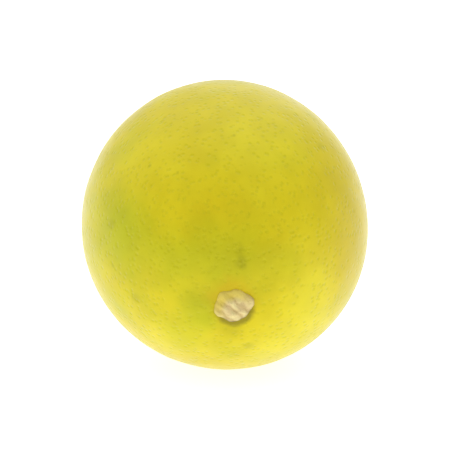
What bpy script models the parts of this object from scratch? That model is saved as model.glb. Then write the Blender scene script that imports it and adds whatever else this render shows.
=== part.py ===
"""A ripe lime as picked, lying on its side: the fruit and its dry stem button.

Metres, +Z up. The origin is the middle of the small flat spot that the fruit
rests on. The stem end points towards -Y and droops a little below level.
"""

import math

import bmesh
import bpy
from mathutils import Vector

# The fruit, measured along and round its own axis, stem end to blossom end
EQUATOR_RADIUS = 0.0220
STEM_HALF_LENGTH = 0.0233
BLOSSOM_HALF_LENGTH = 0.0237

# How it lies: where its middle is from the flat spot, and how far the stem droops
MIDDLE = Vector((-0.0003, 0.0009, 0.02151))
STEM_DROOP = math.radians(15)

# Slight unevenness of the round body: out of round, three-sided and leaning
OVAL, OVAL_TURN = 0.00015, 0.6
THREE_SIDED, THREE_SIDED_TURN = 0.00009, 2.0
LEAN, LEAN_TURN = 0.00020, 1.1

# How a swelling falls away from its middle: evenly, from a round top, from a flat top
EVEN, ROUND_TOP, FLAT_TOP = 2, 3, 6

# The stem end: a shallow dimple with faint creases running out of it
DIMPLE_DEPTH, DIMPLE_REACH = 0.0006, 0.0042
CREASES, CREASE_DEPTH, CREASE_PEAK = 7, 0.00006, 0.0046

# The blossom end: a low nipple in a ring, deeper on one side, and the scar of the style
NIPPLE_HEIGHT, NIPPLE_REACH = 0.0005, 0.0025
RING_DEPTH, RING_RADIUS, RING_WIDTH = 0.00016, 0.0044, 0.0016
RING_SHARE, RING_TURN = 0.35, 0.8
SCAR_HEIGHT, SCAR_RADIUS = 0.00026, 0.0009

# The stem button: five dry sepals, the last one split, by direction and reach,
# round the stub of the stem
SEPAL_TURNS = [math.radians(turn) for turn in (15, 75, 135, 200, 265, 318)]
SEPAL_REACHES = 0.0032, 0.0029, 0.0031, 0.0032, 0.0028, 0.0026
SEPAL_SPREAD = math.radians(28)
BUTTON_RADIUS = 0.0022
SEPAL_THICKNESS, BETWEEN_SEPALS = 0.00080, 0.00022
EDGE_ROUNDING = 4
STUB_HEIGHT, STUB_RADIUS = 0.00045, 0.0015
STUB_HOLLOW, STUB_HOLLOW_RADIUS = 0.00028, 0.0008
BUTTON_LIFT, BUTTON_LIFT_TURN = 0.22, -0.9
SEAT_GAP = 0.0003

# How finely each is divided, and the angle at which an edge starts to look sharp
SHARP_ANGLE = math.radians(50)
FRUIT_SEGMENTS, FRUIT_RINGS, RING_CROWDING = 80, 56, 0.6
BUTTON_SEGMENTS, BUTTON_RINGS = 40, 18

# The block below the surface that cuts the flat spot
CUTTER_SIZE = 0.060


def swelling(distance, reach, fall=EVEN):
    """1 at the middle, falling smoothly to nothing a little past reach."""
    return math.exp(-((abs(distance) / reach) ** fall))


def unevenness(polar, around):
    """How far the body swells past a true egg shape, in metres."""
    girth = math.sin(polar) ** 2
    oval = OVAL * math.cos(2 * around + OVAL_TURN)
    three_sided = THREE_SIDED * math.cos(3 * around + THREE_SIDED_TURN)
    lean = LEAN * math.cos(around + LEAN_TURN) * math.cos(polar)
    return girth * (oval + three_sided + lean)


def stem_relief(distance, around):
    """The dimple and its creases, by the distance along the skin from the stem end."""
    dimple = DIMPLE_DEPTH * swelling(distance, DIMPLE_REACH)
    groove = (0.5 + 0.5 * math.cos(CREASES * around + math.sin(2 * around))) ** 3
    nearness = distance / CREASE_PEAK
    fade = (nearness * math.exp(1 - nearness)) ** 2
    return -dimple - CREASE_DEPTH * groove * fade


def blossom_relief(distance, around):
    """The nipple, its ring and the scar, by the distance from the blossom end."""
    nipple = NIPPLE_HEIGHT * swelling(distance, NIPPLE_REACH, ROUND_TOP)
    ring = RING_DEPTH * swelling(distance - RING_RADIUS, RING_WIDTH)
    ring *= 1 - RING_SHARE + RING_SHARE * math.cos(around - RING_TURN)
    scar = SCAR_HEIGHT * swelling(distance, SCAR_RADIUS, FLAT_TOP)
    return nipple - ring + scar


def skin_radius(polar, around):
    """From the fruit's middle to its skin, polar being the angle from the stem end."""
    half_length = STEM_HALF_LENGTH if polar < math.pi / 2 else BLOSSOM_HALF_LENGTH
    across, along = math.sin(polar) / EQUATOR_RADIUS, math.cos(polar) / half_length
    egg = 1 / math.hypot(across, along)
    from_stem = EQUATOR_RADIUS * polar
    from_blossom = EQUATOR_RADIUS * (math.pi - polar)
    ends = stem_relief(from_stem, around) + blossom_relief(from_blossom, around)
    return egg + unevenness(polar, around) + ends


def on_skin(polar, around, above=0.0):
    """A point of the skin, or above it, with the fruit's axis as Z."""
    reach = skin_radius(polar, around) + above
    flat = reach * math.sin(polar)
    return Vector((flat * math.cos(around), flat * math.sin(around), reach * math.cos(polar)))


def fruit_mesh():
    """A globe whose rings crowd towards its ends, pushed out to the skin."""
    shape = bmesh.new()
    bmesh.ops.create_uvsphere(
        shape, u_segments=FRUIT_SEGMENTS, v_segments=FRUIT_RINGS, radius=1.0
    )
    for point in shape.verts:
        polar = math.acos(max(-1.0, min(1.0, point.co.z)))
        around = math.atan2(point.co.y, point.co.x)
        crowded = polar - RING_CROWDING * math.sin(2 * polar) / 2
        point.co = on_skin(crowded, around)
    return finished(shape, "fruit")


def button_rim(around):
    """How far the button reaches in this direction."""
    rim = BUTTON_RADIUS
    for turn, reach in zip(SEPAL_TURNS, SEPAL_REACHES):
        apart = math.remainder(around - turn, math.tau)
        rim += (reach - BUTTON_RADIUS) * swelling(apart, SEPAL_SPREAD)
    return rim


def button_thickness(outward, around):
    """The button's thickness, outward being 0 at its middle and 1 at its rim."""
    rim = button_rim(around)
    distance = outward * rim
    notch = max(0.0, 1 - (rim - BUTTON_RADIUS) / (max(SEPAL_REACHES) - BUTTON_RADIUS))
    sepals = SEPAL_THICKNESS - BETWEEN_SEPALS * notch * outward
    sepals *= math.sqrt(max(0.0, 1 - outward**EDGE_ROUNDING))
    stub = STUB_HEIGHT * swelling(distance, STUB_RADIUS, FLAT_TOP)
    hollow = STUB_HOLLOW * swelling(distance, STUB_HOLLOW_RADIUS)
    lift = 1 + BUTTON_LIFT * outward * math.cos(around - BUTTON_LIFT_TURN)
    return (sepals + stub - hollow) * lift


def button_mesh():
    """A flattened ball whose lower half follows the skin and whose upper half is the star."""
    shape = bmesh.new()
    bmesh.ops.create_uvsphere(
        shape, u_segments=BUTTON_SEGMENTS, v_segments=BUTTON_RINGS, radius=1.0
    )
    for point in shape.verts:
        outward = min(1.0, math.hypot(point.co.x, point.co.y))
        around = math.atan2(point.co.y, point.co.x)
        polar = button_rim(around) * outward / STEM_HALF_LENGTH
        above = button_thickness(outward, around) if point.co.z > 0 else 0.0
        point.co = on_skin(polar, around, SEAT_GAP + above)
    return finished(shape, "stem_button")


def finished(shape, name):
    """The bmesh as a mesh with smooth shading and its faces pointing out."""
    bmesh.ops.recalc_face_normals(shape, faces=shape.faces)
    mesh = bpy.data.meshes.new(name)
    shape.to_mesh(mesh)
    shape.free()
    mesh.shade_smooth()
    mesh.set_sharp_from_angle(angle=SHARP_ANGLE)
    return mesh


def linear(code):
    """An sRGB hex colour as the linear RGBA that a shader takes."""
    channels = (int(code[i : i + 2], 16) / 255 for i in (1, 3, 5))
    return [*(c / 12.92 if c <= 0.04045 else ((c + 0.055) / 1.055) ** 2.4 for c in channels), 1]


def material(name, code, roughness):
    """A plain finish in one colour."""
    made = bpy.data.materials.new(name)
    made.use_nodes = True
    shader = made.node_tree.nodes["Principled BSDF"]
    shader.inputs["Base Color"].default_value = linear(code)
    shader.inputs["Roughness"].default_value = roughness
    shader.inputs["Metallic"].default_value = 0.0
    return made


def piece(name, mesh, finish, collection, parent=None):
    """An object of this mesh in its collection, with its finish."""
    made = bpy.data.objects.new(name, mesh)
    made.parent = parent
    if finish:
        mesh.materials.append(finish)
    collection.objects.link(made)
    return made


def new_collection(name):
    made = bpy.data.collections.new(name)
    bpy.context.scene.collection.children.link(made)
    return made


def cut_flat_spot(fruit, cutters):
    """Takes off what the fruit would press below the surface it rests on."""
    shape = bmesh.new()
    bmesh.ops.create_cube(shape, size=CUTTER_SIZE)
    block = piece("surface_cutter", finished(shape, "surface_cutter"), None, cutters)
    block.location = (0, 0, -CUTTER_SIZE / 2)
    block.hide_render = True
    block.display_type = "WIRE"
    cut = fruit.modifiers.new("flat_spot", "BOOLEAN")
    cut.operation = "DIFFERENCE"
    cut.solver = "EXACT"
    cut.object = block


def main():
    for old in list(bpy.data.objects):
        bpy.data.objects.remove(old, do_unlink=True)
    lime, cutters = new_collection("lime"), new_collection("cutters")
    axis = bpy.data.objects.new("fruit_axis", None)
    axis.location = MIDDLE
    axis.rotation_euler = (math.pi / 2 + STEM_DROOP, 0, 0)
    lime.objects.link(axis)
    rind = material("lime_rind", "#CFC42E", 0.42)
    wood = material("dry_button", "#D2BD8C", 0.85)
    fruit = piece("fruit", fruit_mesh(), rind, lime, axis)
    piece("stem_button", button_mesh(), wood, lime, axis)
    cut_flat_spot(fruit, cutters)


main()
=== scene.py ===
"""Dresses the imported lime: its waxy, finely pitted rind, its dry stem button and the style's scar.

Metres, +Z up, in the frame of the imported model. The stem end points towards -Y
and droops a little below level; the blossom end points towards +Y.
"""

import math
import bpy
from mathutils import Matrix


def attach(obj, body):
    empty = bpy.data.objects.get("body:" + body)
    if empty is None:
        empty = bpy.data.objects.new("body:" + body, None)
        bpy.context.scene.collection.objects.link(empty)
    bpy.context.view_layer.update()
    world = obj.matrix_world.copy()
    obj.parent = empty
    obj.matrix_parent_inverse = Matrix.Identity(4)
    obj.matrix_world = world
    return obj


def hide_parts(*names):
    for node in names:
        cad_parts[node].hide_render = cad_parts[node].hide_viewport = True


bl_info = {
    "name": "Ripe lime",
    "version": (1, 0, 0),
    "blender": (4, 5, 0),
    "location": "3D View > Sidebar > Lime",
    "description": "Models and shades a ripe lime with its stem button, on a pale studio floor",
    "category": "Object",
}

import bmesh
import bpy
from bpy.props import FloatProperty, FloatVectorProperty, PointerProperty
from mathutils import Matrix, Vector, noise

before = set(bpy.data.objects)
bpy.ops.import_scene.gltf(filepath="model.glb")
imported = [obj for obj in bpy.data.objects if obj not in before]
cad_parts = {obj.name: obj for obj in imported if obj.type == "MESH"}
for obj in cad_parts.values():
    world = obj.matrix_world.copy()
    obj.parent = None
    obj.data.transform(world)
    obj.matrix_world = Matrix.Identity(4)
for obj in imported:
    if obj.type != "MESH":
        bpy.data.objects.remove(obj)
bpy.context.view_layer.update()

# The fruit as the solids have it: its middle, its droop and its half axes
MIDDLE = Vector((-0.0003, 0.0009, 0.02151))
STEM_DROOP = math.radians(15)
EQUATOR_RADIUS = 0.0220
STEM_HALF_LENGTH = 0.0233
BLOSSOM_HALF_LENGTH = 0.0237

# Its slight unevenness
OVAL, OVAL_TURN = 0.00015, 0.6
THREE_SIDED, THREE_SIDED_TURN = 0.00009, 2.0
LEAN, LEAN_TURN = 0.00020, 1.1

# How a swelling falls away from its middle: evenly, from a round top, from a flat top
EVEN, ROUND_TOP, FLAT_TOP = 2, 3, 6

# The relief of the two ends
DIMPLE_DEPTH, DIMPLE_REACH = 0.0006, 0.0042
CREASES, CREASE_DEPTH, CREASE_PEAK = 7, 0.00006, 0.0046
NIPPLE_HEIGHT, NIPPLE_REACH = 0.0005, 0.0025
RING_DEPTH, RING_RADIUS, RING_WIDTH = 0.00016, 0.0044, 0.0016
RING_SHARE, RING_TURN = 0.35, 0.8

# The stem button's five sepals, the last one split, by direction and reach
SEPAL_TURNS = [math.radians(turn) for turn in (15, 75, 135, 200, 265, 318)]
SEPAL_REACHES = 0.0032, 0.0029, 0.0031, 0.0032, 0.0028, 0.0026
SEPAL_SPREAD = math.radians(28)
BUTTON_RADIUS = 0.0022
BETWEEN_SEPALS = 0.00022
STUB_RADIUS = 0.0015
STUB_HOLLOW, STUB_HOLLOW_RADIUS = 0.00028, 0.0008
BUTTON_LIFT, BUTTON_LIFT_TURN = 0.22, -0.9

# Where the photographed view is taken from
VIEW_AZIMUTH, VIEW_ELEVATION = math.radians(-3.3), math.radians(16.8)

# From the fruit's own axis, stem end up, to how it lies
LYING = Matrix.Translation(MIDDLE) @ Matrix.Rotation(math.pi / 2 + STEM_DROOP, 4, "X")


def linear(code):
    """An sRGB hex colour as linear red, green and blue."""
    channels = (int(code[i : i + 2], 16) / 255 for i in (1, 3, 5))
    return tuple(c / 12.92 if c <= 0.04045 else ((c + 0.055) / 1.055) ** 2.4 for c in channels)


def length(name, description, default):
    return FloatProperty(
        name=name, description=description, default=default, min=0.0, precision=5,
        subtype="DISTANCE", unit="LENGTH",
    )


def colour(name, description, code):
    return FloatVectorProperty(
        name=name, description=description, default=linear(code), size=3,
        min=0.0, max=1.0, subtype="COLOR",
    )


class LimeSizes(bpy.types.PropertyGroup):
    """The sizes of the fine relief."""

    pore_spacing: length("Pore spacing", "From one oil gland's pit to the next", 0.00085)
    pore_radius: length("Pore radius", "Of the widest pits", 0.00034)
    pore_depth: length("Pore depth", "Of the pits", 0.00007)
    swell: length("Swell", "How far the rind swells and sinks over 5 mm", 0.00006)
    dimpling: length("Dimpling", "How far the rind swells and sinks over 2 mm", 0.000014)
    sepal_thickness: length("Sepal thickness", "Of the stem button's dry sepals", 0.00080)
    stub_height: length("Stub height", "Of the stem's stub above the sepals", 0.00045)
    fold_height: length("Fold height", "Of the folds that cross the stem button", 0.00011)
    fibre_relief: length("Fibre relief", "Of the stem button's dry fibres", 0.00010)
    scar_height: length("Scar height", "Of the style's scar above the nipple", 0.00026)
    scar_radius: length("Scar radius", "Of the style's scar", 0.0009)


class LimeColours(bpy.types.PropertyGroup):
    """The colours of the rind and of the two dry ends."""

    rind: colour("Rind", "The rind's main colour", "#D8C813")
    rind_green: colour("Green rind", "Where the rind is least ripe", "#B3B90E")
    # The deep rind also serves as painted shade, in the middle and towards the right side
    rind_deep_and_painted_shade: colour("Deep rind", "Where the rind is ripest", "#CFB908")
    # The bright rind also serves as painted light: bounce round the bottom and highlights on the
    # upper side
    rind_bright_and_painted_light: colour("Bright rind", "The rind round the stem end", "#E4D824")
    # The ochre rind is painted shade, on the slope of the stem dimple above the button
    rind_ochre_shade: colour("Ochre rind", "The rind against the stem button", "#CFB008")
    gland: colour("Oil glands", "The oil glands seen through the rind", "#B9B60E")
    # The marks' colour also paints shade beside and below the button
    mark: colour("Marks", "Rubbed and scarred spots of the rind", "#8E8C06")
    cork: colour("Corky specks", "Dried specks, such as a fly's sting leaves", "#6E5A18")
    bloom: colour("Bloom", "The wax bloom, which pales the rind towards its outline", "#FFFBE6")
    gloss: colour("Gloss", "The tint of the reflections in the oily wax", "#FFF2A8")
    button: colour("Stem button", "The dry sepals", "#E4D496")
    button_pink: colour("Button folds", "The pinkish sides of the folds", "#D6BD86")
    button_brown: colour("Button cracks", "The cracks between the fibres", "#A08746")
    # The torn rim's brown, and painted shade along the edge on the crevice side
    button_edge_and_shade: colour("Button's edge", "The torn rim, darkest where it is raised", "#84713A")
    button_yellow: colour("Button's live edge", "Where the sepals grow into the rind", "#D8C24A")
    # Painted shade: the dark olive under the button's raised edge
    crevice_shade: colour("Crevice", "The rind under the button's raised edge", "#857A12")
    scar: colour("Style scar", "The dried style's scar", "#50381A")
    floor: colour("Floor", "The pale studio floor", "#D4D4D4")


def swelling(distance, reach, fall=EVEN):
    """1 at the middle, falling smoothly to nothing a little past reach."""
    return math.exp(-((abs(distance) / reach) ** fall))


def smooth(value):
    """0 to 1 with a soft start and end."""
    value = max(0.0, min(1.0, value))
    return value * value * (3 - 2 * value)


def unevenness(polar, around):
    """How far the body swells past a true egg shape."""
    girth = math.sin(polar) ** 2
    oval = OVAL * math.cos(2 * around + OVAL_TURN)
    three_sided = THREE_SIDED * math.cos(3 * around + THREE_SIDED_TURN)
    lean = LEAN * math.cos(around + LEAN_TURN) * math.cos(polar)
    return girth * (oval + three_sided + lean)


def stem_relief(distance, around):
    """The dimple and its creases, by the distance along the skin from the stem end."""
    dimple = DIMPLE_DEPTH * swelling(distance, DIMPLE_REACH)
    groove = (0.5 + 0.5 * math.cos(CREASES * around + math.sin(2 * around))) ** 3
    nearness = distance / CREASE_PEAK
    fade = (nearness * math.exp(1 - nearness)) ** 2
    return -dimple - CREASE_DEPTH * groove * fade


def blossom_relief(distance, around):
    """The nipple and its ring, by the distance from the blossom end."""
    nipple = NIPPLE_HEIGHT * swelling(distance, NIPPLE_REACH, ROUND_TOP)
    ring = RING_DEPTH * swelling(distance - RING_RADIUS, RING_WIDTH)
    ring *= 1 - RING_SHARE + RING_SHARE * math.cos(around - RING_TURN)
    return nipple - ring


def skin_radius(polar, around):
    """From the fruit's middle to its skin, polar being the angle from the stem end."""
    half_length = STEM_HALF_LENGTH if polar < math.pi / 2 else BLOSSOM_HALF_LENGTH
    across, along = math.sin(polar) / EQUATOR_RADIUS, math.cos(polar) / half_length
    egg = 1 / math.hypot(across, along)
    from_stem = EQUATOR_RADIUS * polar
    from_blossom = EQUATOR_RADIUS * (math.pi - polar)
    ends = stem_relief(from_stem, around) + blossom_relief(from_blossom, around)
    return egg + unevenness(polar, around) + ends


def direction(polar, around):
    """The way out of the fruit's middle, with its axis as Z."""
    flat = math.sin(polar)
    return Vector((flat * math.cos(around), flat * math.sin(around), math.cos(polar)))


def on_skin(polar, around, above=0.0):
    """A point of the skin, or above it, with the fruit's axis as Z."""
    return direction(polar, around) * (skin_radius(polar, around) + above)


def towards_viewer():
    """The way from the fruit to where the photographed view is taken from."""
    level = math.cos(VIEW_ELEVATION)
    return Vector((
        math.sin(VIEW_AZIMUTH) * level,
        -math.cos(VIEW_AZIMUTH) * level,
        math.sin(VIEW_ELEVATION),
    ))


def seen_at(right, up):
    """The point of the rind that the photographed view shows this far right and up of the middle."""
    back = towards_viewer()
    across = Vector((0, 0, 1)).cross(back).normalized()
    rise = back.cross(across)
    aim = across * right + rise * up
    reach = EQUATOR_RADIUS
    # The skin's distance depends a little on the direction, so the point is found by steps
    for _ in range(4):
        depth = math.sqrt(max(0.0, reach**2 - right**2 - up**2))
        way = LYING.to_3x3().inverted() @ (aim + back * depth).normalized()
        reach = skin_radius(math.acos(way.z), math.atan2(way.y, way.x))
    return MIDDLE + (aim + back * depth).normalized() * reach


def new_piece(context, name, shape, material, replaced=()):
    """A finished piece of the lime from its bmesh, riding on the one body."""
    # A ball that is wrapped round the blossom end comes out of it inside out
    if shape.calc_volume(signed=True) < 0:
        bmesh.ops.reverse_faces(shape, faces=shape.faces)
    mesh = bpy.data.meshes.new(name)
    shape.to_mesh(mesh)
    shape.free()
    mesh.shade_smooth()
    mesh.materials.append(material)
    made = bpy.data.objects.new(name, mesh)
    context.collection.objects.link(made)
    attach(made, "root")
    if replaced:
        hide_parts(*replaced)
    return made


def add(tree, kind, settings=None, inputs=None):
    """A node with its settings, and with its inputs set to values or linked from sockets."""
    node = tree.nodes.new(kind)
    for name, value in (settings or {}).items():
        setattr(node, name, value)
    for key, value in (inputs or {}).items():
        if isinstance(value, bpy.types.NodeSocket):
            tree.links.new(value, node.inputs[key])
        else:
            node.inputs[key].default_value = value
    return node


def blank_material(name):
    """A material's tree with its surface shader and the object's own coordinates in metres."""
    made = bpy.data.materials.new(name)
    made.use_nodes = True
    tree = made.node_tree
    place = add(tree, "ShaderNodeTexCoord").outputs["Object"]
    return made, tree, tree.nodes["Principled BSDF"], place


# The inputs and the output of a Mix node that mixes colours
FACTOR, FIRST, SECOND, RESULT = 0, 6, 7, 2


def stained(tree, below, stain, measure, low, high, strength):
    """A stain over a colour, from none where a measure is at low to strength where it is at high."""
    amount = add(
        tree, "ShaderNodeMapRange", {"interpolation_type": "SMOOTHSTEP"},
        {"Value": measure, "From Min": low, "From Max": high, "To Min": 0.0, "To Max": strength},
    )
    below = below if isinstance(below, bpy.types.NodeSocket) else (*below, 1)
    mixed = add(
        tree, "ShaderNodeMix", {"data_type": "RGBA"},
        {FACTOR: amount.outputs["Result"], FIRST: below, SECOND: (*stain, 1)},
    )
    return mixed.outputs[RESULT]


def spotted(tree, below, stain, place, spot):
    """A soft-edged spot of a stain: its centre, full within, gone by and strength."""
    centre, inner, outer, strength = spot
    apart = add(tree, "ShaderNodeVectorMath", {"operation": "DISTANCE"}, {0: place, 1: centre})
    return stained(tree, below, stain, apart.outputs["Value"], outer, inner, strength)


def wandering(tree, place, grain, reach):
    """The coordinates pushed about by reach, in waves of this grain, so that edges aren't drawn."""
    waves = add(
        tree, "ShaderNodeTexNoise", None,
        {"Vector": place, "Scale": 1 / grain, "Detail": 3.0, "Roughness": 0.6},
    )
    centred = add(
        tree, "ShaderNodeVectorMath", {"operation": "SUBTRACT"},
        {0: waves.outputs["Color"], 1: (0.5, 0.5, 0.5)},
    )
    pushed = add(
        tree, "ShaderNodeVectorMath", {"operation": "MULTIPLY_ADD"},
        {0: centred.outputs["Vector"], 1: (reach, reach, reach), 2: place},
    )
    return pushed.outputs["Vector"]


def this_way(x, y, z):
    """A point at the rind in this direction from the fruit's middle."""
    return MIDDLE + Vector((x, y, z)).normalized() * EQUATOR_RADIUS


# The painted ochre shade of the dimple round the button lies a little to one side of it: which way
# and how far
OCHRE_TURN, OCHRE_SHIFT = math.radians(105), 0.0008


def rind_patches():
    """Where the rind's colour differs, painted light and shade among it: colour, point, full within,
    gone by, strength.
    """
    above_button = LYING @ on_skin(OCHRE_SHIFT / STEM_HALF_LENGTH, OCHRE_TURN)
    blossom_end = LYING @ on_skin(math.pi, 0.0)
    return (
        # Painted light: bright bounce round the bottom and painted highlights across the upper side
        ("rind_bright_and_painted_light", seen_at(0.0100, -0.0180), 0.0030, 0.0110, 0.65),
        ("rind_bright_and_painted_light", seen_at(0.0135, -0.0105), 0.0020, 0.0080, 0.65),
        ("rind_bright_and_painted_light", seen_at(-0.0085, -0.0175), 0.0020, 0.0080, 0.40),
        ("rind_bright_and_painted_light", seen_at(-0.0130, 0.0110), 0.0020, 0.0090, 0.35),
        ("rind_bright_and_painted_light", seen_at(0.0050, 0.0125), 0.0020, 0.0110, 0.55),
        ("rind_bright_and_painted_light", seen_at(0.0118, 0.0118), 0.0010, 0.0055, 0.45),
        # Greener to the left, and above and beside the button
        ("rind_green", seen_at(-0.0155, -0.0015), 0.0010, 0.0100, 0.75),
        ("rind_green", seen_at(-0.0070, -0.0055), 0.0015, 0.0070, 0.55),
        ("rind_green", seen_at(0.0015, -0.0065), 0.0010, 0.0065, 0.60),
        ("rind_green", seen_at(-0.0195, 0.0040), 0.0010, 0.0070, 0.15),
        ("rind_green", seen_at(-0.0202, -0.0045), 0.0010, 0.0065, 0.35),
        ("rind_green", seen_at(-0.0165, -0.0122), 0.0010, 0.0060, 0.30),
        ("rind_green", seen_at(0.0005, -0.0082), 0.0010, 0.0055, 0.30),
        ("rind_green", seen_at(-0.0035, -0.0130), 0.0010, 0.0055, 0.65),
        ("rind_green", seen_at(0.0005, -0.0190), 0.0005, 0.0040, 0.30),
        # Painted shade: darker in the middle and to the right, with a few greener spots between
        ("rind_deep_and_painted_shade", seen_at(-0.0010, 0.0005), 0.0010, 0.0075, 0.45),
        ("rind_deep_and_painted_shade", seen_at(0.0045, -0.0060), 0.0020, 0.0080, 0.40),
        ("rind_green", seen_at(0.0020, -0.0035), 0.0010, 0.0075, 0.35),
        ("rind_green", seen_at(-0.0060, -0.0165), 0.0010, 0.0060, 0.35),
        ("rind_green", seen_at(-0.0028, -0.0022), 0.0010, 0.0050, 0.35),
        ("rind_green", seen_at(0.0082, -0.0062), 0.0010, 0.0050, 0.35),
        ("rind_deep_and_painted_shade", seen_at(0.0185, 0.0060), 0.0020, 0.0130, 0.60),
        ("rind_deep_and_painted_shade", seen_at(0.0195, -0.0040), 0.0020, 0.0110, 0.75),
        # Painted shade: ochre on the dimple's slope above the button
        ("rind_ochre_shade", above_button, 0.0024, 0.0050, 0.70),
        # Green round the nipple, then what the view doesn't show: left, back, top and right
        ("rind_green", blossom_end, 0.0010, 0.0120, 0.80),
        ("rind_green", this_way(-1, 0.35, 0.1), 0.0020, 0.0150, 0.40),
        ("rind_green", this_way(-0.5, 0.7, 0.5), 0.0015, 0.0110, 0.60),
        ("rind_deep_and_painted_shade", this_way(0.6, 0.6, 0.4), 0.0015, 0.0120, 0.75),
        ("rind_deep_and_painted_shade", this_way(0.2, 0.8, -0.7), 0.0030, 0.0150, 0.85),
        ("rind_green", this_way(0.1, 0.35, 1.0), 0.0010, 0.0100, 0.20),
        ("rind_deep_and_painted_shade", this_way(1, 0.3, 0.0), 0.0030, 0.0120, 0.45),
    )


def rind_marks():
    """Rubbed or scarred spots, and painted shade by the button: point, full within, gone by,
    strength.
    """
    return (
        # The olive streak above the button
        (seen_at(0.0022, -0.0028), 0.0000, 0.0008, 0.14),
        (seen_at(0.0025, -0.0035), 0.0000, 0.0009, 0.22),
        (seen_at(0.0022, -0.0042), 0.0000, 0.0010, 0.26),
        (seen_at(0.0026, -0.0049), 0.0000, 0.0010, 0.34),
        (seen_at(0.0023, -0.0056), 0.0000, 0.0013, 0.38),
        (seen_at(0.0027, -0.0062), 0.0000, 0.0008, 0.30),
        # Painted shade beside and below the button
        (seen_at(-0.0033, -0.0113), 0.0005, 0.0042, 0.15),
        (seen_at(0.0010, -0.0156), 0.0004, 0.0028, 0.24),
        # The small single marks
        (seen_at(-0.0170, 0.0002), 0.0002, 0.0014, 0.24),
        (seen_at(0.0146, 0.0119), 0.0002, 0.0013, 0.22),
        (seen_at(-0.0135, -0.0109), 0.0002, 0.0014, 0.22),
        (seen_at(0.0036, -0.0182), 0.0002, 0.0012, 0.30),
        # Round the style's scar
        (LYING @ on_skin(math.pi, 0.0), 0.0008, 0.0019, 0.70),
    )


# Corky specks on the half that the view doesn't show: polar angle and turn in degrees, radius
CORKY_SPECKS = (
    (128, 35, 0.00055), (139, 61, 0.00040), (134, 96, 0.00035), (146, 128, 0.00060),
    (116, 152, 0.00040), (133, 171, 0.00030), (118, 214, 0.00050), (141, 262, 0.00040),
    (104, 318, 0.00045), (112, 2, 0.00030), (152, 305, 0.00035), (107, 249, 0.00040),
)
# Shares of its radius that a speck is full within and gone by, and its strength
CORK_CORE, CORK_REACH, CORK_STRENGTH = 0.3, 1.3, 0.80

# The rind's patterns, by the real size of what they draw: how ripeness varies, the mottling,
# the wax, the grain of the peel, and how far apart the rare dark specks are
CLOUD_SIZE, MOTTLE_SIZE, WAX_SIZE, GRAIN_SIZE = 0.0110, 0.0040, 0.0020, 0.00045
SPECK_SPACING = 0.0075
# How deep the grain of the peel is
GRAIN_DEPTH = 0.00002
# How the edges of patches, specks, marks and pores wander: the waves' size and their reach
PATCH_WANDER, SPECK_WANDER = (0.0060, 0.0045), (0.0008, 0.0003)
MARK_WANDER, PORE_WANDER = (0.0009, 0.0006), (0.0016, 0.0005)
# Stains by a pattern's value: none at, full at, strength
GREEN_CLOUDS, BRIGHT_CLOUDS = (0.50, 0.72, 0.35), (0.50, 0.28, 0.35)
RARE_SPECKS = 0.055, 0.02, 0.28
# The glands' edge and middle in shares of the pore's radius, and how much they show
GLAND_EDGE, GLAND_MIDDLE, GLAND_STRENGTH = 1.2, 0.2, 0.36


def ripening(tree, place, colours):
    """Yellow that turns to green and ochre, in clouds, in patches and in a faint mottling, with
    painted light and shade in the patches.
    """
    clouds = add(
        tree, "ShaderNodeTexNoise", None,
        {"Vector": place, "Scale": 1 / CLOUD_SIZE, "Detail": 3.0, "Roughness": 0.55},
    ).outputs["Fac"]
    skin = stained(tree, colours.rind, colours.rind_green, clouds, *GREEN_CLOUDS)
    skin = stained(tree, skin, colours.rind_bright_and_painted_light, clouds, *BRIGHT_CLOUDS)
    wander = wandering(tree, place, *PATCH_WANDER)
    for name, *spot in rind_patches():
        skin = spotted(tree, skin, getattr(colours, name), wander, spot)
    mottle = add(
        tree, "ShaderNodeTexNoise", None,
        {"Vector": place, "Scale": 1 / MOTTLE_SIZE, "Detail": 3.0, "Roughness": 0.45},
    )
    shade = add(
        tree, "ShaderNodeMapRange", {"interpolation_type": "SMOOTHSTEP"},
        {
            "Value": mottle.outputs["Fac"], "From Min": 0.30, "From Max": 0.70,
            "To Min": 0.93, "To Max": 1.0,
        },
    ).outputs["Result"]
    grey = add(tree, "ShaderNodeCombineColor", None, {0: shade, 1: shade, 2: shade})
    mottled = add(
        tree, "ShaderNodeMix", {"data_type": "RGBA", "blend_type": "MULTIPLY"},
        {FACTOR: 1.0, FIRST: skin, SECOND: grey.outputs["Color"]},
    )
    return mottled.outputs[RESULT]


def blemished(tree, skin, place, colours):
    """The rind with rare specks, its marks and corky scars, and painted shade beside, below and under
    the button's edge.
    """
    specks = add(
        tree, "ShaderNodeTexVoronoi", {"feature": "F1"},
        {"Vector": wandering(tree, place, *SPECK_WANDER), "Scale": 1 / SPECK_SPACING},
    )
    skin = stained(tree, skin, colours.mark, specks.outputs["Distance"], *RARE_SPECKS)
    near = wandering(tree, place, *MARK_WANDER)
    for spot in rind_marks():
        skin = spotted(tree, skin, colours.mark, near, spot)
    for polar, turn, radius in CORKY_SPECKS:
        centre = LYING @ on_skin(math.radians(polar), math.radians(turn))
        spot = (centre, CORK_CORE * radius, CORK_REACH * radius, CORK_STRENGTH)
        skin = spotted(tree, skin, colours.cork, near, spot)
    # Painted shade in the crevice under the button's raised edge
    under_edge = LYING @ on_skin(CREVICE_SHIFT / STEM_HALF_LENGTH, CREVICE_TURN)
    return spotted(tree, skin, colours.crevice_shade, near, (under_edge, *CREVICE_SPOT))


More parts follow.
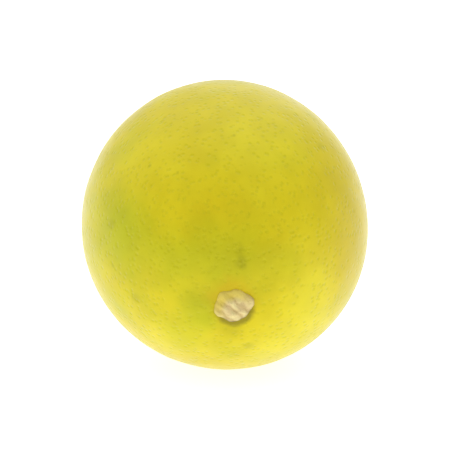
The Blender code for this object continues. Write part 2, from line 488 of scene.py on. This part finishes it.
def waxy_rind(sizes, colours):
    """Ripe citrus rind, grown and unpolished: a thin wax bloom over oily pitted peel.

    To the eye it is satin, with soft wide reflections that pale towards the rim,
    a clear yellow that wanders to green, and fine pits a shade darker and greener.
    """
    made, tree, shader, place = blank_material("waxy_lime_rind")
    # The oil glands lie at different depths, so the pits over them differ in width
    pores = add(
        tree, "ShaderNodeTexVoronoi", {"feature": "F1"},
        {"Vector": wandering(tree, place, *PORE_WANDER), "Scale": 1 / sizes.pore_spacing},
    ).outputs["Distance"]
    reach = sizes.pore_radius / sizes.pore_spacing
    edge, middle = GLAND_EDGE * reach, GLAND_MIDDLE * reach
    skin = ripening(tree, place, colours)
    skin = stained(tree, skin, colours.gland, pores, edge, middle, GLAND_STRENGTH)
    skin = blemished(tree, skin, place, colours)
    # The wax lies unevenly, so the gloss varies
    wax = add(
        tree, "ShaderNodeTexNoise", None,
        {"Vector": place, "Scale": 1 / WAX_SIZE, "Detail": 3.0, "Roughness": 0.6},
    )
    gloss = add(
        tree, "ShaderNodeMapRange", {"interpolation_type": "SMOOTHSTEP"},
        {
            "Value": wax.outputs["Fac"], "From Min": 0.3, "From Max": 0.7,
            "To Min": 0.36, "To Max": 0.46,
        },
    )
    grain = add(
        tree, "ShaderNodeTexNoise", None,
        {"Vector": place, "Scale": 1 / GRAIN_SIZE, "Detail": 2.0, "Roughness": 0.5},
    )
    grained = add(
        tree, "ShaderNodeBump", None,
        {"Strength": 0.30, "Distance": GRAIN_DEPTH, "Height": grain.outputs["Fac"]},
    )
    pits = add(
        tree, "ShaderNodeMapRange", {"interpolation_type": "SMOOTHSTEP"},
        {"Value": pores, "From Min": edge, "From Max": middle, "To Min": 0.0, "To Max": 1.0},
    )
    pitted = add(
        tree, "ShaderNodeBump", {"invert": True},
        {
            "Strength": 0.8, "Distance": sizes.pore_depth, "Height": pits.outputs["Result"],
            "Normal": grained.outputs["Normal"],
        },
    )
    tree.links.new(skin, shader.inputs["Base Color"])
    tree.links.new(gloss.outputs["Result"], shader.inputs["Roughness"])
    tree.links.new(pitted.outputs["Normal"], shader.inputs["Normal"])
    shader.inputs["IOR"].default_value = 1.45
    shader.inputs["Specular Tint"].default_value = (*colours.gloss, 1)
    shader.inputs["Sheen Weight"].default_value = 0.42
    shader.inputs["Sheen Roughness"].default_value = 0.30
    shader.inputs["Sheen Tint"].default_value = (*colours.bloom, 1)
    shader.inputs["Subsurface Weight"].default_value = 0.12
    shader.inputs["Subsurface Radius"].default_value = (1.0, 0.8, 0.15)
    shader.inputs["Subsurface Scale"].default_value = 0.0012
    return made


# The two dry ends' patterns, by the real size of what they draw
FIBRE_WIDTH, FIBRE_LENGTH = 0.00040, 0.00075
BLOTCH_SIZE, SPLIT_SIZE = 0.0014, 0.00030
FIBRE_DEPTH, SPLIT_DEPTH = 0.00020, 0.00010
# Their stains by a pattern's or an attribute's value: none at, full at, strength
PINK_BLOTCHES, PINK_FOLDS, BROWN_FOLDS = (0.40, 0.64, 0.75), (0.40, 0.95, 0.65), (0.78, 1.0, 0.30)
BROWN_CRACKS, TORN_EDGE_AND_SHADE, LIVE_EDGE = (0.54, 0.70, 0.50), (0.92, 1.10, 0.85), (0.10, 0.90, 0.85)
PALE_SPLITS = 0.50, 0.75, 0.55


def dry_sepals(colours):
    """Dead calyx and stem, shrunk dry on the fruit: pale corky fibre, cracked and matt.

    To the eye it is cream to tan without gloss, pinkish down the folds, brown in the cracks,
    brown at the torn edge with painted shade along it on the crevice side, and yellow where the rind
    still holds it.
    """
    made, tree, shader, place = blank_material("dried_calyx")
    hollow = add(tree, "ShaderNodeAttribute", {"attribute_name": "hollow"}).outputs["Fac"]
    rim = add(tree, "ShaderNodeAttribute", {"attribute_name": "rim"}).outputs["Fac"]
    live = add(tree, "ShaderNodeAttribute", {"attribute_name": "live"}).outputs["Fac"]
    fibres = add(
        tree, "ShaderNodeTexNoise", None,
        {"Vector": place, "Scale": 1 / FIBRE_WIDTH, "Detail": 5.0, "Roughness": 0.75},
    ).outputs["Fac"]
    blotches = add(
        tree, "ShaderNodeTexNoise", None,
        {"Vector": place, "Scale": 1 / BLOTCH_SIZE, "Detail": 3.0, "Roughness": 0.6},
    ).outputs["Fac"]
    bark = stained(tree, colours.button, colours.button_pink, blotches, *PINK_BLOTCHES)
    bark = stained(tree, bark, colours.button_pink, hollow, *PINK_FOLDS)
    bark = stained(tree, bark, colours.button_brown, hollow, *BROWN_FOLDS)
    bark = stained(tree, bark, colours.button_brown, fibres, *BROWN_CRACKS)
    # Brown at the torn rim, with painted shade along it on the crevice side
    bark = stained(tree, bark, colours.button_edge_and_shade, rim, *TORN_EDGE_AND_SHADE)
    bark = stained(tree, bark, colours.button_yellow, live, *LIVE_EDGE)
    bump = add(
        tree, "ShaderNodeBump", None,
        {"Strength": 0.7, "Distance": FIBRE_DEPTH, "Height": fibres},
    )
    tree.links.new(bark, shader.inputs["Base Color"])
    tree.links.new(bump.outputs["Normal"], shader.inputs["Normal"])
    shader.inputs["Roughness"].default_value = 0.85
    shader.inputs["IOR"].default_value = 1.45
    return made


def dried_style(colours):
    """The dead end of the style: dark brown, dry and dull, paler where it has split."""
    made, tree, shader, place = blank_material("dried_style")
    splits = add(
        tree, "ShaderNodeTexNoise", None,
        {"Vector": place, "Scale": 1 / SPLIT_SIZE, "Detail": 4.0, "Roughness": 0.6},
    ).outputs["Fac"]
    bark = stained(tree, colours.scar, colours.button_brown, splits, *PALE_SPLITS)
    bump = add(
        tree, "ShaderNodeBump", None,
        {"Strength": 0.7, "Distance": SPLIT_DEPTH, "Height": splits},
    )
    tree.links.new(bark, shader.inputs["Base Color"])
    tree.links.new(bump.outputs["Normal"], shader.inputs["Normal"])
    shader.inputs["Roughness"].default_value = 0.80
    shader.inputs["Specular IOR Level"].default_value = 0.25
    return made


# The rind's mesh: quads along a side of the cube that it is blown up from
RIND_QUADS = 112
# How far apart its swells and its dimples are
SWELL_SIZE, DIMPLING_SIZE = 0.0048, 0.0016
# How far round the flat spot's edge is softened
FLAT_SPOT_SOFTNESS = 0.00012


class LIME_OT_rind(bpy.types.Operator):
    """Model the fruit's rind, with its slight swells and its flat spot"""

    bl_idname = "lime.rind"
    bl_label = "Rind"

    def execute(self, context):
        sizes, colours = context.scene.lime_sizes, context.scene.lime_colours
        shape = bmesh.new()
        bmesh.ops.create_cube(shape, size=2.0)
        bmesh.ops.subdivide_edges(
            shape, edges=shape.edges[:], cuts=RIND_QUADS - 1, use_grid_fill=True
        )
        for point in shape.verts:
            # A cube's grid spreads evenly over a globe when its steps are taken as angles
            way = Vector(math.tan(c * math.pi / 4) for c in point.co).normalized()
            polar = math.acos(max(-1.0, min(1.0, way.z)))
            around = math.atan2(way.y, way.x)
            swell = sizes.swell * noise.noise(way * EQUATOR_RADIUS / SWELL_SIZE)
            dimpling = sizes.dimpling * noise.noise(way * EQUATOR_RADIUS / DIMPLING_SIZE)
            place = LYING @ on_skin(polar, around, swell + dimpling)
            place.z = (place.z + math.hypot(place.z, FLAT_SPOT_SOFTNESS)) / 2
            point.co = place
        new_piece(context, "rind", shape, waxy_rind(sizes, colours), ["fruit"])
        return {"FINISHED"}


# The button's mesh
BUTTON_SEGMENTS, BUTTON_RINGS = 176, 72
# How its folds run across it, and how far and over what size they waver
FOLD_SPACING, FOLD_TURN = 0.0015, math.radians(-40)
FOLD_WAVER, WAVER_SIZE = 2.2, 0.0016
# The fibres' noise: its seed, roughness, lacunarity and octaves
FIBRE_SEED, FIBRE_NOISE = 1.7, (0.7, 2.0, 4)
# How round its edge is, and how the rim curls up on one side
EDGE_ROUNDING = 6
RIM_CURL, RIM_CURL_TURN, RIM_CURL_FALL = 0.00030, math.radians(-50), 5
SUNK_IN_RIND = 0.00012
# How torn its rim is: each tear's share and fineness, and the noise's seed
RIM_TEARS, RIM_SEED = ((0.05, 2.2), (0.03, 6.0)), 0.4
# The edge that the rind still grips: its middle, where it starts, its width and its fall
LIVE_TURN, LIVE_START, LIVE_WIDTH, LIVE_FALL = math.radians(122), 0.20, 0.6, 1.1
# The painted shade in the crevice under the other edge: which way, how far, full within, gone by,
# strength
CREVICE_TURN, CREVICE_SHIFT = math.radians(-75), 0.0009
CREVICE_SPOT = 0.0024, 0.0034, 0.85
# How much further in the dark rim, painted shade, reaches on that side, and how fast it falls inwards
EDGE_SHADE, EDGE_SHADE_FALL = 0.17, 3


def torn(around, seed, tears):
    """How far a torn edge reaches in this direction, about 1."""
    way = Vector((math.cos(around), math.sin(around), seed))
    return sum((share * noise.noise(way * fineness) for share, fineness in tears), 1.0)


def button_rim(around):
    """How far the button reaches in this direction, with its torn edge."""
    rim = BUTTON_RADIUS
    for turn, reach in zip(SEPAL_TURNS, SEPAL_REACHES):
        apart = math.remainder(around - turn, math.tau)
        rim += (reach - BUTTON_RADIUS) * swelling(apart, SEPAL_SPREAD)
    return rim * torn(around, RIM_SEED, RIM_TEARS)


def button_top(outward, around, sizes):
    """The height of the button's upper side above the skin, and how deep in a fold this is."""
    rim = button_rim(around)
    distance = outward * rim
    across = distance * math.sin(around - FOLD_TURN)
    along = distance * math.cos(around - FOLD_TURN)
    waver = noise.noise(Vector((across, along, 0)) / WAVER_SIZE)
    fold = math.sin(math.tau * across / FOLD_SPACING + FOLD_WAVER * waver)
    notch = max(0.0, 1 - (rim - BUTTON_RADIUS) / (max(SEPAL_REACHES) - BUTTON_RADIUS))
    sepals = sizes.sepal_thickness - BETWEEN_SEPALS * notch * outward
    stub = sizes.stub_height * swelling(distance, STUB_RADIUS, FLAT_TOP)
    hollow = STUB_HOLLOW * swelling(distance, STUB_HOLLOW_RADIUS)
    fibre = Vector((across / FIBRE_WIDTH, along / FIBRE_LENGTH, FIBRE_SEED))
    rough = sizes.fibre_relief * noise.fractal(fibre, *FIBRE_NOISE)
    edge = math.sqrt(max(0.0, 1 - outward**EDGE_ROUNDING))
    lift = 1 + BUTTON_LIFT * outward * math.cos(around - BUTTON_LIFT_TURN)
    height = (sepals + stub - hollow) * lift + sizes.fold_height * fold + rough
    return height * edge, 0.5 - 0.5 * fold


def button_underside(outward, around):
    """The height of the underside: sunk in the rind, curling up at the rim on one side."""
    curl = RIM_CURL * (0.5 + 0.5 * math.cos(around - RIM_CURL_TURN))
    return curl * outward**RIM_CURL_FALL - SUNK_IN_RIND


class LIME_OT_stem_button(bpy.types.Operator):
    """Model the dry stem button, with its five sepals and the stem's stub"""

    bl_idname = "lime.stem_button"
    bl_label = "Stem button"

    def execute(self, context):
        sizes, colours = context.scene.lime_sizes, context.scene.lime_colours
        shape = bmesh.new()
        bmesh.ops.create_uvsphere(
            shape, u_segments=BUTTON_SEGMENTS, v_segments=BUTTON_RINGS, radius=1.0
        )
        hollow_layer = shape.verts.layers.float.new("hollow")
        rim_shade_layer = shape.verts.layers.float.new("rim")
        live_layer = shape.verts.layers.float.new("live")
        for point in shape.verts:
            outward = min(1.0, math.hypot(point.co.x, point.co.y))
            around = math.atan2(point.co.y, point.co.x)
            polar = button_rim(around) * outward / STEM_HALF_LENGTH
            under = button_underside(outward, around)
            top, fold = button_top(outward, around, sizes)
            upper = point.co.z > 0
            point.co = LYING @ on_skin(polar, around, under + (top if upper else 0.0))
            point[hollow_layer] = fold if upper else 1.0
            # The rim darkens most on the crevice side: painted shade of the raised edge
            shaded = EDGE_SHADE * outward**EDGE_SHADE_FALL * math.cos(around - CREVICE_TURN)
            point[rim_shade_layer] = outward + shaded if upper else 1.0
            gripped = 0.5 + 0.5 * math.cos(around - LIVE_TURN)
            near_rim = smooth((outward - LIVE_START) / LIVE_WIDTH)
            point[live_layer] = near_rim * gripped**LIVE_FALL
        new_piece(
            context, "stem_button_dry", shape, dry_sepals(colours), ["stem_button"]
        )
        return {"FINISHED"}


# The scar's mesh, its torn edge and how flat its dome is
SCAR_SEGMENTS, SCAR_RINGS = 64, 32
SCAR_TEARS, SCAR_SEED = ((0.30, 1.3), (0.12, 4.0)), 2.0
SCAR_DOME = 2.5
# How rough it is, how fine its lumps are, and their noise's roughness, lacunarity and octaves
SCAR_ROUGHNESS, SCAR_LUMPS, SCAR_NOISE = 0.9, 1.8, (0.8, 2.0, 3)


class LIME_OT_style_scar(bpy.types.Operator):
    """Model the dry scar that the style left on the nipple"""

    bl_idname = "lime.style_scar"
    bl_label = "Style scar"

    def execute(self, context):
        sizes, colours = context.scene.lime_sizes, context.scene.lime_colours
        shape = bmesh.new()
        bmesh.ops.create_uvsphere(
            shape, u_segments=SCAR_SEGMENTS, v_segments=SCAR_RINGS, radius=1.0
        )
        for point in shape.verts:
            outward = min(1.0, math.hypot(point.co.x, point.co.y))
            around = math.atan2(point.co.y, point.co.x)
            distance = outward * sizes.scar_radius * torn(around, SCAR_SEED, SCAR_TEARS)
            polar = math.pi - distance / BLOSSOM_HALF_LENGTH
            dome = math.sqrt(max(0.0, 1 - outward**SCAR_DOME))
            rough = SCAR_ROUGHNESS * noise.fractal(point.co * SCAR_LUMPS, *SCAR_NOISE)
            top = sizes.scar_height * dome * (1 + rough)
            above = top if point.co.z > 0 else -SUNK_IN_RIND
            point.co = LYING @ on_skin(polar, around, above)
        new_piece(context, "style_scar", shape, dried_style(colours))
        return {"FINISHED"}


# The stage: the floor and the grain of its card, and the camera's distance and lens in millimetres
FLOOR_RADIUS, FLOOR_SEGMENTS, CARD_GRAIN = 3.0, 96, 0.02
CAMERA_DISTANCE, CAMERA_LENS = 0.56, 290
# The white room's brightness all round
ROOM_BRIGHTNESS = 0.61
# The floor glows a little, as opal sheet does over a lamp, which keeps the shadow faint
FLOOR_GLOW = 0.82
# The soft lights: name, place, side, power in watts
SOFT_LIGHTS = (
    ("overhead", Vector((0.0, 0.20, 0.80)), 1.10, 3.9),
    ("left", Vector((-0.80, 0.30, 0.35)), 0.90, 0.8),
    ("behind", Vector((0.22, 0.88, 0.34)), 0.60, 1.0),
)


class LIME_OT_stage(bpy.types.Operator):
    """Set up the camera, the pale floor and the soft studio light"""

    bl_idname = "lime.stage"
    bl_label = "Stage"

    def execute(self, context):
        scene = context.scene
        back = towards_viewer()
        camera = bpy.data.objects.new("camera", bpy.data.cameras.new("camera"))
        camera.data.lens = CAMERA_LENS
        camera.location = MIDDLE + back * CAMERA_DISTANCE
        camera.rotation_euler = back.to_track_quat("Z", "Y").to_euler()
        context.collection.objects.link(camera)
        scene.camera = camera
        self.lay_floor(context)
        for name, place, side, power in SOFT_LIGHTS:
            light = bpy.data.lights.new(name, "AREA")
            light.shape, light.size, light.energy = "SQUARE", side, power
            lamp = bpy.data.objects.new(name, light)
            lamp.location = place
            lamp.rotation_euler = (place - MIDDLE).to_track_quat("Z", "Y").to_euler()
            context.collection.objects.link(lamp)
        scene.world = scene.world or bpy.data.worlds.new("white_room")
        scene.world.use_nodes = True
        backdrop = scene.world.node_tree.nodes["Background"]
        backdrop.inputs["Color"].default_value = (1.0, 1.0, 1.0, 1.0)
        backdrop.inputs["Strength"].default_value = ROOM_BRIGHTNESS
        scene.view_settings.view_transform = "Standard"
        return {"FINISHED"}

    def lay_floor(self, context):
        """Matt white card, lit to near white, with the faint grain of its coating."""
        shape = bmesh.new()
        bmesh.ops.create_circle(shape, cap_ends=True, segments=FLOOR_SEGMENTS, radius=FLOOR_RADIUS)
        mesh = bpy.data.meshes.new("floor")
        shape.to_mesh(mesh)
        shape.free()
        card, tree, shader, place = blank_material("matt_white_card")
        grain = add(tree, "ShaderNodeTexNoise", None, {"Vector": place, "Scale": 1 / CARD_GRAIN})
        gloss = add(
            tree, "ShaderNodeMapRange", None,
            {
                "Value": grain.outputs["Fac"], "From Min": 0.3, "From Max": 0.7,
                "To Min": 0.75, "To Max": 0.85,
            },
        )
        tree.links.new(gloss.outputs["Result"], shader.inputs["Roughness"])
        shader.inputs["Base Color"].default_value = (*context.scene.lime_colours.floor, 1)
        shader.inputs["Emission Color"].default_value = (1.0, 1.0, 1.0, 1.0)
        shader.inputs["Emission Strength"].default_value = FLOOR_GLOW
        mesh.materials.append(card)
        floor = bpy.data.objects.new("floor", mesh)
        context.collection.objects.link(floor)


class LIME_PT_dressing(bpy.types.Panel):
    """The lime's sizes, colours and pieces"""

    bl_label = "Ripe lime"
    bl_space_type = "VIEW_3D"
    bl_region_type = "UI"
    bl_category = "Lime"

    def draw(self, context):
        column = self.layout.column()
        for group in (context.scene.lime_sizes, context.scene.lime_colours):
            for name in group.__annotations__:
                column.prop(group, name)
        for operator in OPERATORS:
            column.operator(operator.bl_idname)


OPERATORS = (LIME_OT_stage, LIME_OT_rind, LIME_OT_stem_button, LIME_OT_style_scar)
CLASSES = (LimeSizes, LimeColours, *OPERATORS, LIME_PT_dressing)


def register():
    for each in CLASSES:
        bpy.utils.register_class(each)
    bpy.types.Scene.lime_sizes = PointerProperty(type=LimeSizes)
    bpy.types.Scene.lime_colours = PointerProperty(type=LimeColours)


def unregister():
    del bpy.types.Scene.lime_colours
    del bpy.types.Scene.lime_sizes
    for each in reversed(CLASSES):
        bpy.utils.unregister_class(each)


def main():
    register()
    bpy.ops.lime.stage()
    bpy.ops.lime.rind()
    bpy.ops.lime.stem_button()
    bpy.ops.lime.style_scar()


if __name__ == "__main__":
    main()
